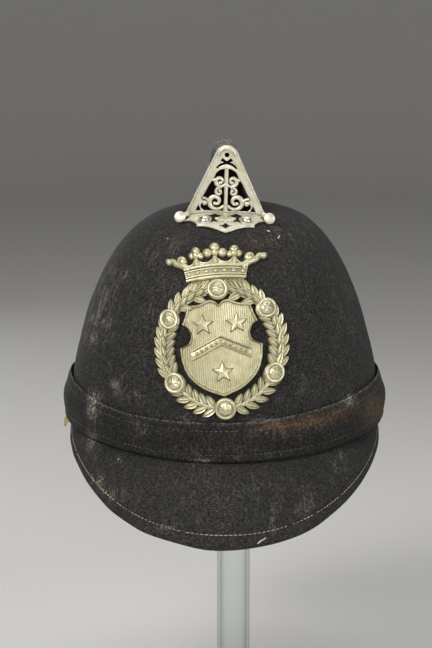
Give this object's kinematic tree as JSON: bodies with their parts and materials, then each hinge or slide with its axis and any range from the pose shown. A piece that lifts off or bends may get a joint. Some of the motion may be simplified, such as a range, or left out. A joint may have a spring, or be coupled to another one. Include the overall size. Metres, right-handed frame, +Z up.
{
  "type": "crested police helmet on a stand",
  "caption": "Dark cloth helmet with a banded crown, two drooping peaks, a raised comb, a pierced crest plate and a wreathed badge, held up by a clear post on a round base.",
  "frame": {"origin": "on the table under the middle of the object, below the helmet's own upright axis", "axes": "+Z up, -Y out of the helmet's front, +X to the right of someone who faces its badge"},
  "size_m": [0.2132, 0.3395, 0.3936],
  "materials": {
    "wool_cloth": "worn dark wool cloth, slightly fuzzy and dusty",
    "dusty_cloth": "the same cloth with pale dust rubbed into its ridge",
    "pale_metal": "cast white metal, worn smooth and a little yellowed",
    "bright_metal": "polished white metal",
    "brass": "tarnished brass",
    "clear_acrylic": "clear and polished"
  },
  "bodies": {
    "root": {"crown": "wool_cloth", "band": "wool_cloth", "front_peak": "wool_cloth", "back_peak": "wool_cloth", "comb": "dusty_cloth", "crest_plate": "pale_metal", "crest_rivet_left": "bright_metal", "crest_rivet_right": "bright_metal", "badge_wreath": "pale_metal", "badge_boss_1": "pale_metal", "badge_boss_2": "pale_metal", "badge_boss_3": "pale_metal", "badge_boss_4": "pale_metal", "badge_boss_5": "pale_metal", "badge_boss_6": "pale_metal", "badge_coronet": "pale_metal", "badge_shield": "pale_metal", "side_hook": "brass", "stand_head": "clear_acrylic", "stand_post": "clear_acrylic", "stand_base": "clear_acrylic"}
  },
  "joints": []
}
